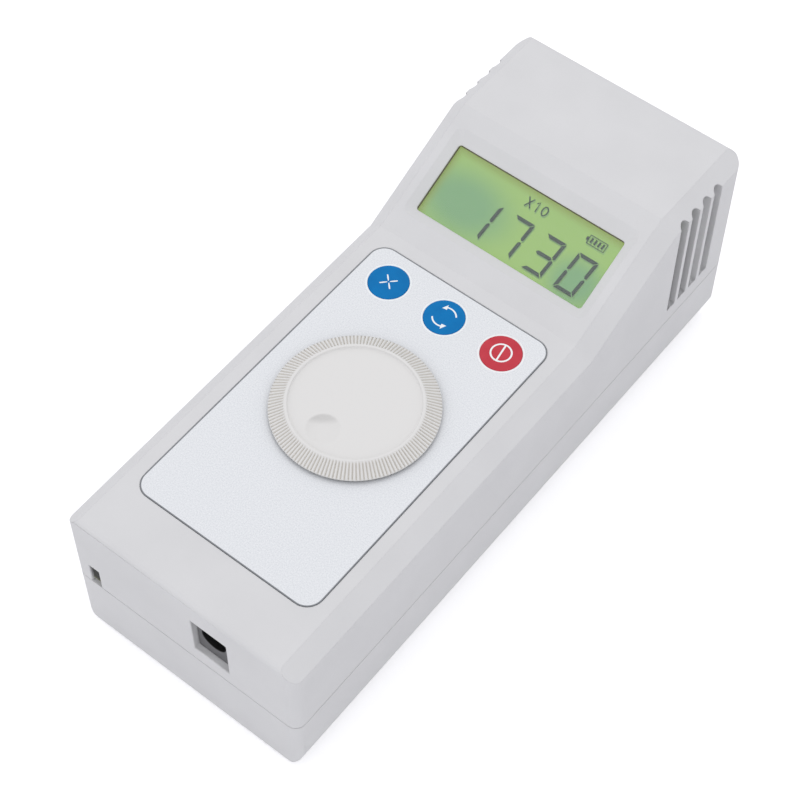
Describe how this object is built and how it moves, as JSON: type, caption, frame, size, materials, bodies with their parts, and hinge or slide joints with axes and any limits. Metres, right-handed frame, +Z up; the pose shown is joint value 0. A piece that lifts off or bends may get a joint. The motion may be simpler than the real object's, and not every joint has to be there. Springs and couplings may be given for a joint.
{
  "type": "stroboscope tachometer",
  "caption": "Handheld stroboscope tachometer with a sloping lit display, film keys, a ribbed speed knob, a charging socket and an LED lamp behind a clear end window.",
  "frame": {"origin": "centre of the case's footprint, on its flat underside", "axes": "+Z up, +Y along the case towards the lamp end, +X to the right seen from the socket end"},
  "size_m": [0.062, 0.158, 0.057],
  "materials": {
    "case_abs": "fine moulded texture",
    "overlay_film": "silver printed film, satin",
    "key_blue": "printed film, satin",
    "key_red": "printed film, satin",
    "knob_abs": "fine moulded texture",
    "black_plastic": "moulded",
    "ivory_plastic": "moulded connector",
    "grey_plastic": "moulded",
    "steel": "plated",
    "circuit_board": "solder mask",
    "clear_acrylic": "clear, polished",
    "lcd": "liquid crystal display, lit from behind",
    "light_guide": "frosted light guide",
    "green_led": "diffused epoxy",
    "clear_epoxy": "clear epoxy",
    "chromed_plastic": "metallised",
    "board_white": "white solder mask",
    "heat_sink_metal": "extruded",
    "cell_metal": "cell can under its wrap",
    "shrink_sleeve": "heat-shrunk film",
    "foam": "closed-cell foam",
    "wire_red": "wire insulation",
    "wire_black": "wire insulation",
    "ribbon_white": "flat cable",
    "capacitor_sleeve": "sleeved can"
  },
  "bodies": {
    "case": {"upper_case": "case_abs", "lower_case": "case_abs", "case_screws": "steel", "keypad_overlay": "overlay_film", "switch_housings": "grey_plastic", "encoder_bushing": "steel", "encoder_housing": "grey_plastic", "main_board": "circuit_board", "main_board_screws": "steel", "microcontroller": "black_plastic", "crystal": "steel", "buffer_capacitors": "capacitor_sleeve", "lamp_driver": "black_plastic", "lamp_socket": "ivory_plastic", "display_window": "clear_acrylic", "lcd_glass": "lcd", "lcd_pins": "steel", "lcd_backlight": "light_guide", "display_board": "circuit_board", "display_board_screws": "steel", "ribbon_sockets": "ivory_plastic", "display_ribbon": "ribbon_white", "power_board": "circuit_board", "power_board_screws": "steel", "board_header": "black_plastic", "charger_chip": "black_plastic", "charger_coil": "grey_plastic", "battery_socket": "ivory_plastic", "dc_jack_body": "black_plastic", "dc_jack_pin": "steel", "dc_jack_contact": "steel", "charge_light": "green_led", "battery_cells": "cell_metal", "battery_sleeve": "shrink_sleeve", "battery_tape": "foam", "battery_foam": "foam", "battery_wire_red": "wire_red", "battery_wire_black": "wire_black", "lamp_window": "clear_acrylic", "reflector": "chromed_plastic", "lamp_leds": "clear_epoxy", "led_board": "board_white", "heat_sink": "heat_sink_metal", "lamp_screws": "steel", "lamp_wire_red": "wire_red", "lamp_wire_black": "wire_black"},
    "knob": {"knob": "knob_abs", "encoder_shaft": "steel"},
    "key_multiplier": {"key_multiplier": "key_blue", "plunger_multiplier": "black_plastic"},
    "key_phase": {"key_phase": "key_blue", "plunger_phase": "black_plastic"},
    "key_power": {"key_power": "key_red", "plunger_power": "black_plastic"}
  },
  "joints": [
    {"name": "knob_turn", "type": "hinge", "parent": "case", "child": "knob", "pos_m": [0, -0.0216, 0.0435], "axis": [0, 0, 1], "continuous": true},
    {"name": "press_multiplier", "type": "slide", "parent": "case", "child": "key_multiplier", "axis": [0, 0, -1], "range_m": [0, 0.0003], "stiffness_N_per_m": 6000},
    {"name": "press_phase", "type": "slide", "parent": "case", "child": "key_phase", "axis": [0, 0, -1], "range_m": [0, 0.0003], "stiffness_N_per_m": 6000},
    {"name": "press_power", "type": "slide", "parent": "case", "child": "key_power", "axis": [0, 0, -1], "range_m": [0, 0.0003], "stiffness_N_per_m": 6000}
  ]
}
